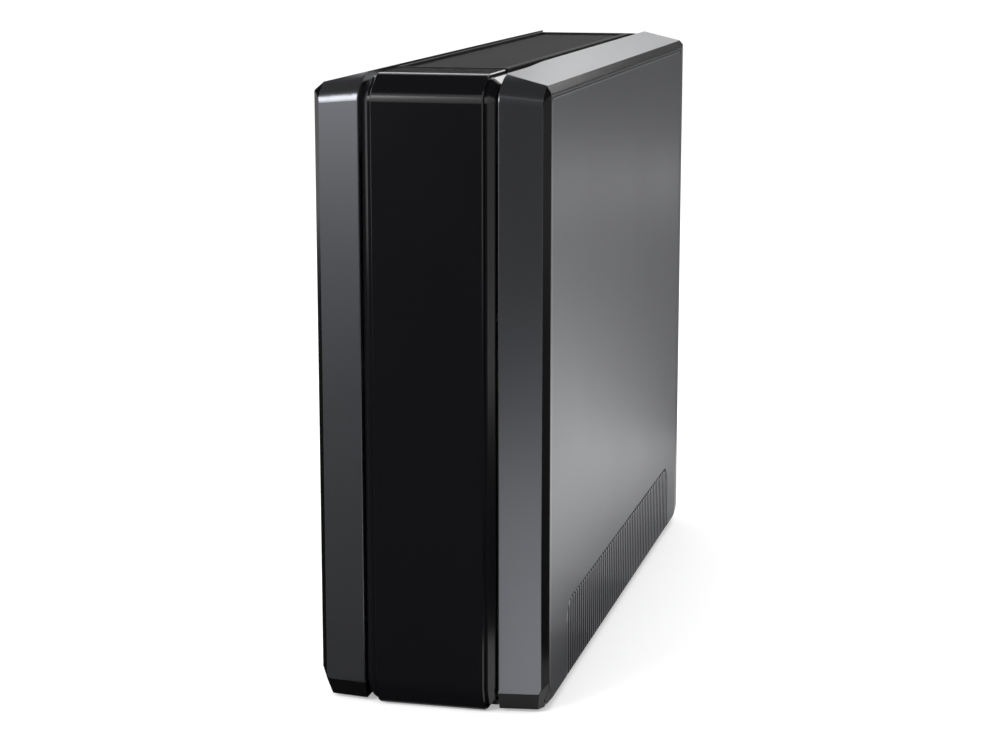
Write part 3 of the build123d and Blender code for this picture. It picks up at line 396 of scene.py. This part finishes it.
# Extruded PET strap: pale, with a smooth waxy sheen
strap_pet = moulded_plastic(
    "strap_pet", tones=("B9BABC", "C4C5C6"), sheen=(0.30, 0.36),
    grain_mm=2.0, grain_depth_mm=0.01,
)
# Extruded soft PVC: a saturated red under a dull skin
positive_pvc = moulded_plastic(
    "positive_pvc", tones=("8A1512", "9A1B16"), sheen=(0.38, 0.46),
    grain_mm=1.5, grain_depth_mm=0.01,
)
# The same PVC in black
negative_pvc = moulded_plastic(
    "negative_pvc", tones=("141414", "1A1A1A"), sheen=(0.38, 0.46),
    grain_mm=1.5, grain_depth_mm=0.01,
)
# Moulded polycarbonate: bright amber, and almost polished
fuse_polycarbonate = moulded_plastic(
    "fuse_polycarbonate", tones=("C46A12", "CF7A1C"), sheen=(0.12, 0.18),
    grain_mm=3.0, grain_depth_mm=0.005,
)
# Moulded rubber: near black, and too rough for any highlight
foot_rubber = moulded_plastic(
    "foot_rubber", tones=("101010", "171717"), sheen=(0.75, 0.85),
    grain_mm=0.8, grain_depth_mm=0.03,
)
# Cut foam: its open cells make it quite matt, with a coarse relief
pad_foam = moulded_plastic(
    "pad_foam", tones=("1C1C1D", "262627"), sheen=(0.85, 0.95),
    grain_mm=1.6, grain_depth_mm=0.25,
)
print("finishes so far:", [material.name for material in bpy.data.materials])

# %% [markdown]
# The glossy centre panel
#
# The panel is piano black: acrylic from a mirror-polished mould. It has no grain, only a very
# shallow waviness that bends a reflected lamp by a hair. Its black is so deep that almost all its
# light is reflection, so its sheen matters more than its colour.

# %% Piano black
WAVE_MM = 45.0
WAVE_DEPTH_MM = 0.03
PANEL_BLACK = "0D0D0F"
PANEL_SHEEN = (0.15, 0.19)
ACRYLIC_IOR = 1.49
PANEL_GLOSS = 0.42


def piano_black():
    """Polished black plastic with a shallow waviness."""
    material, tree, where = new_finish("piano_black")
    wave = add_node(
        tree, "ShaderNodeTexNoise",
        {"Vector": where, "Scale": 1 / (WAVE_MM * MM), "Detail": SMOOTH},
    )
    relief = add_node(
        tree, "ShaderNodeBump",
        {"Height": wave, "Distance": WAVE_DEPTH_MM * MM, "Strength": 1.0},
    )
    haze = add_node(
        tree, "ShaderNodeMapRange",
        {"Value": wave, "To Min": PANEL_SHEEN[0], "To Max": PANEL_SHEEN[1]},
    )
    shader = add_node(
        tree, "ShaderNodeBsdfPrincipled",
        {
            "Base Color": linear(PANEL_BLACK),
            "Roughness": haze,
            "Normal": relief,
            "IOR": ACRYLIC_IOR,
            "Specular IOR Level": PANEL_GLOSS,
        },
    )
    close_finish(tree, shader)
    return material


panel_gloss = piano_black()
print("panel:", panel_gloss.name, "with", len(panel_gloss.node_tree.nodes), "nodes")

# %% [markdown]
# Metal parts
#
# The socket contacts and battery tabs are brass with a thin coat of tin: a soft, slightly grey
# mirror. The screws are steel with a black zinc coat, which is darker and duller.

# %% Tinned brass and black zinc


def plated_metal(name, tones, sheen, grain_mm):
    """Metal whose plating has a fine uneven sheen."""
    material, tree, where = new_finish(name)
    grain = add_node(
        tree, "ShaderNodeTexNoise",
        {"Vector": where, "Scale": 1 / (grain_mm * MM), "Detail": BROKEN},
    )
    tone = add_node(
        tree, "ShaderNodeMix",
        {0: grain, COLOUR_A: linear(tones[0]), COLOUR_B: linear(tones[1])},
        data_type="RGBA",
    )
    roughness = add_node(
        tree, "ShaderNodeMapRange", {"Value": grain, "To Min": sheen[0], "To Max": sheen[1]}
    )
    shader = add_node(
        tree, "ShaderNodeBsdfPrincipled",
        {
            "Base Color": tone.outputs[COLOUR_RESULT],
            "Roughness": roughness,
            "Metallic": 1.0,
        },
    )
    close_finish(tree, shader)
    return material


# Tin dulls the brass to a warm pale grey that still mirrors
tinned_brass = plated_metal(
    "tinned_brass", tones=("B9B4A8", "CFCBC2"), sheen=(0.22, 0.34), grain_mm=1.0,
)
# The coat is a dark metal with a blurred highlight
black_zinc = plated_metal(
    "black_zinc", tones=("1E1F22", "2E2F33"), sheen=(0.35, 0.50), grain_mm=0.8,
)
print("metals:", tinned_brass.name, black_zinc.name)

# %% [markdown]
# Dress every CAD node
#
# Each node keeps its CAD shape and gets the finish of the real piece.

# %% Which finish goes on which node
finishes = {
    wing_paint: ["left_shell", "right_shell"],
    cover_paint: ["side_cover"],
    panel_gloss: ["front_panel"],
    vent_abs: ["top_vent_panel", "rear_panel"],
    black_abs: [
        "base_plate", "battery_tray", "terminal_boots", "fuse_holder",
        "output_socket", "link_socket",
    ],
    battery_abs: [
        "battery_front_lower", "battery_front_upper",
        "battery_rear_lower", "battery_rear_upper",
    ],
    strap_pet: ["cartridge_straps"],
    positive_pvc: ["positive_lead"],
    negative_pvc: ["negative_lead", "series_links"],
    fuse_polycarbonate: ["blade_fuse"],
    foot_rubber: ["rubber_feet"],
    pad_foam: ["foam_pads"],
    tinned_brass: ["battery_terminals", "socket_contacts"],
    black_zinc: ["rear_screws", "base_screws", "tray_screws"],
}
for finish, nodes in finishes.items():
    for node in nodes:
        for material_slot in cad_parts[node].material_slots:
            material_slot.material = finish
dressed = [node for nodes in finishes.values() for node in nodes]
print("dressed nodes:", len(dressed), "left bare:", sorted(set(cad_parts) - set(dressed)))

# %% [markdown]
# Studio
#
# The photograph is a product shot on white. The floor is a large pale sheet: its own diffuse
# white takes the shadow of the case, and a little glow that only direct views and mirrors see
# lifts it to the white of the page. The world is pure white where it is seen, and a little
# dimmer where it lights the case.

# %% Floor and world
WHITE = (1.0, 1.0, 1.0, 1.0)
FLOOR_SIZE = 60.0
FLOOR_PAPER = "E4E4E4"
FLOOR_GLOW = 0.36
AMBIENT = 0.85


def seen_directly(tree):
    """1 for rays from the camera, a mirror or a pane of glass, and 0 for soft light."""
    path = add_node(tree, "ShaderNodeLightPath").outputs
    mirrored = add_node(
        tree, "ShaderNodeMath",
        {0: path["Is Camera Ray"], 1: path["Is Glossy Ray"]},
        operation="MAXIMUM",
    )
    return add_node(
        tree, "ShaderNodeMath",
        {0: mirrored, 1: path["Is Transmission Ray"]},
        operation="MAXIMUM",
    )


def white_floor():
    """Matt white floor with a faint glow for what sees it directly."""
    material, tree, _ = new_finish("white_floor")
    paper = add_node(tree, "ShaderNodeBsdfDiffuse", {"Color": linear(FLOOR_PAPER)})
    glow = add_node(
        tree, "ShaderNodeMath", {0: seen_directly(tree), 1: FLOOR_GLOW}, operation="MULTIPLY"
    )
    light = add_node(tree, "ShaderNodeEmission", {"Color": WHITE, "Strength": glow})
    lit_paper = add_node(tree, "ShaderNodeAddShader", {0: paper, 1: light})
    close_finish(tree, lit_paper)
    return material


bpy.ops.mesh.primitive_plane_add(size=FLOOR_SIZE)
floor = bpy.context.object
floor.name = "floor"
floor.data.materials.append(white_floor())

world = bpy.data.worlds.new("studio")
bpy.context.scene.world = world
world.use_nodes = True
sky = world.node_tree
sky.nodes.clear()
strength = add_node(
    sky, "ShaderNodeMapRange", {"Value": seen_directly(sky), "To Min": AMBIENT, "To Max": 1.0}
)
background = add_node(sky, "ShaderNodeBackground", {"Color": WHITE, "Strength": strength})
add_node(sky, "ShaderNodeOutputWorld", {"Surface": background})
print("floor of", FLOOR_SIZE, "m under a world called", world.name)

# %% [markdown]
# Lamps
#
# A large soft box overhead gives the even light. A wide one in front on the left, well above the
# case, draws the bright band over the rounded brow of the left wing and, fainter, of the panel. A
# box behind the case lights the top of the fenders, which the camera sees at a grazing angle.
# The overhead box would draw a glare on the fenders, so nothing mirrors it.

# %% Soft boxes
AIM = Vector((0.0, -0.1, 0.2))


def soft_box(name, place, size, brightness, mirrored=True):
    """A rectangular soft lamp, aimed at the case. Its power follows from its brightness."""
    lamp = bpy.data.lights.new(name, "AREA")
    lamp.shape = "RECTANGLE"
    lamp.size, lamp.size_y = size
    lamp.energy = brightness * pi * size[0] * size[1]
    body = bpy.data.objects.new(name, lamp)
    bpy.context.scene.collection.objects.link(body)
    body.location = place
    body.rotation_euler = (AIM - Vector(place)).to_track_quat("-Z", "Y").to_euler()
    body.visible_camera = False
    body.visible_glossy = mirrored


soft_box("top_box", place=(0.2, 0.1, 1.8), size=(1.2, 1.2), brightness=2.4, mirrored=False)
soft_box("brow_box", place=(-0.95, -1.25, 0.84), size=(1.1, 0.82), brightness=8.0)
soft_box("back_box", place=(-0.3, 2.6, 1.15), size=(1.8, 0.6), brightness=1.65)
print("lamps:", {lamp.name: round(lamp.energy, 1) for lamp in bpy.data.lights})

# %% [markdown]
# Cards
#
# A photographer of a dark glossy thing on white also decides what it mirrors. Cards of felt just
# outside the picture keep the centre panel deep black and draw the paint's long gradients. A few
# beside and under the case are a painted shadow: in mirrors they stand for the case's shadow on
# the floor. Here they act on reflections alone, so they take no light from the case and throw no
# shadow.

# %% Felt
WEAVE_MM = 2.5


def felt(name, tones):
    """Matt felt with a slight unevenness."""
    material, tree, where = new_finish(name)
    weave = add_node(
        tree, "ShaderNodeTexNoise",
        {"Vector": where, "Scale": 1 / (WEAVE_MM * MM), "Detail": PLAIN},
    )
    tone = add_node(
        tree, "ShaderNodeMix",
        {0: weave, COLOUR_A: linear(tones[0]), COLOUR_B: linear(tones[1])},
        data_type="RGBA",
    )
    cloth = add_node(tree, "ShaderNodeBsdfDiffuse", {"Color": tone.outputs[COLOUR_RESULT]})
    close_finish(tree, cloth)
    return material


black_felt = felt("black_felt", ("050505", "0A0A0A"))
grey_felt = felt("grey_felt", ("707070", "787878"))
silver_felt = felt("silver_felt", ("909090", "989898"))
pale_felt = felt("pale_felt", ("B4B4B4", "BCBCBC"))
print("felts:", black_felt.name, grey_felt.name, silver_felt.name, pale_felt.name)

# %% [markdown]
# Where the cards go
#
# A flat glossy face shows the camera one part of the room. That part is found by following the
# line of sight from the camera to the face and bouncing it off there, as a ball bounces off a
# wall. Each card stands or lies where such a line ends, and takes the tone that the photograph
# has on that face. Sizes and places are in metres.

# %% Cards that lie on the floor and cards that stand
CARD_LIFT = 0.002


def card(name, cloth, corners):
    """A flat card with four corners, seen only in reflections."""
    mesh = bpy.data.meshes.new(name)
    mesh.from_pydata(corners, [], [(0, 1, 2, 3)])
    sheet = bpy.data.objects.new(name, mesh)
    bpy.context.scene.collection.objects.link(sheet)
    sheet.data.materials.append(cloth)
    sheet.visible_camera = False
    sheet.visible_diffuse = False
    sheet.visible_shadow = False
    sheet.visible_transmission = False


def level_card(name, cloth, x, y, z=CARD_LIFT):
    """A card that lies level between two values of x and two values of y."""
    card(name, cloth, [(x[0], y[0], z), (x[1], y[0], z), (x[1], y[1], z), (x[0], y[1], z)])


def standing_card(name, cloth, x, y, z):
    """A card that stands across the scene, between two values of x and two heights."""
    card(name, cloth, [(x[0], y, z[0]), (x[1], y, z[0]), (x[1], y, z[1]), (x[0], y, z[1])])


# In front: the panel and the lower left wing mirror these
# In front the floor card is a black flag; its back end, under the case, is a painted shadow that
# mirrors see in place of the shaded floor
level_card("front_floor_card", black_felt, x=(-1.7, 0.03), y=(-2.0, -0.14))
standing_card("panel_card", black_felt, x=(-0.8, 0.0), y=-2.0, z=(0.0, 0.42))
# The right wing mirrors this one, from its middle up
standing_card("wing_card", black_felt, x=(-0.05, 1.05), y=-0.74, z=(0.0, 0.9))
# The slopes of the brows mirror what is overhead
level_card("overhead_card", black_felt, x=(-1.2, 1.2), y=(-0.9, 1.0), z=1.25)
# The chamfers mirror the floor on both sides
level_card("left_floor_card", black_felt, x=(-1.5, -0.07), y=(-0.14, 0.66))
level_card("right_floor_card", black_felt, x=(0.13, 1.43), y=(-0.5, -0.17))
# The foot of the cover mirrors the floor beside it. These three cards are a painted shadow: in
# reflections they stand for the case's shadow on that floor, darker towards the front
BESIDE_COVER = (0.057, 0.107)
level_card("cover_front_shadow_card", grey_felt, x=BESIDE_COVER, y=(-0.17, -0.06))
level_card("cover_middle_shadow_card", silver_felt, x=BESIDE_COVER, y=(-0.06, 0.04))
level_card("cover_rear_shadow_card", pale_felt, x=BESIDE_COVER, y=(0.04, 0.43))
# Behind: the upper cover mirrors the grey one, the vent and the top chamfer the two black ones
standing_card("back_card", grey_felt, x=(-0.34, 1.86), y=2.2, z=(0.0, 0.75))
standing_card("chamfer_card", black_felt, x=(0.32, 1.02), y=2.18, z=(0.5, 1.15))
standing_card("vent_card", black_felt, x=(-1.1, -0.35), y=2.18, z=(0.0, 0.95))
# The middle of the cover mirrors the floor behind the case, where this one lies askew
near_corner = Vector((0.08, 0.3, CARD_LIFT))
right_edge = Vector((0.5, 1.13, 0.0))
far_edge = Vector((-0.6, 1.6, 0.0))
card(
    "back_floor_card", grey_felt,
    [
        near_corner,
        near_corner + right_edge,
        near_corner + right_edge + far_edge,
        near_corner + far_edge,
    ],
)

# %% [markdown]
# Camera
#
# The photograph was solved as a pinhole camera: the case's own edges give its place, its aim and
# its focal length. The picture is taken to be 1000 by 750.

# %% Camera
CAMERA_PLACE = (0.28234, -1.21178, 0.37638)
DEGREES_DOWN = 11.403
DEGREES_LEFT = 13.646
SENSOR_WIDTH_MM = 36.0
FOCAL_LENGTH_MM = 84.2

camera_data = bpy.data.cameras.new("photo_camera")
camera_data.sensor_width = SENSOR_WIDTH_MM
camera_data.lens = FOCAL_LENGTH_MM
camera = bpy.data.objects.new("photo_camera", camera_data)
bpy.context.scene.collection.objects.link(camera)
camera.location = CAMERA_PLACE
camera.rotation_euler = (radians(90 - DEGREES_DOWN), 0.0, radians(DEGREES_LEFT))
bpy.context.scene.camera = camera
bpy.context.scene.view_settings.view_transform = "Standard"
print("camera at", CAMERA_PLACE, "with a lens of", FOCAL_LENGTH_MM, "mm")
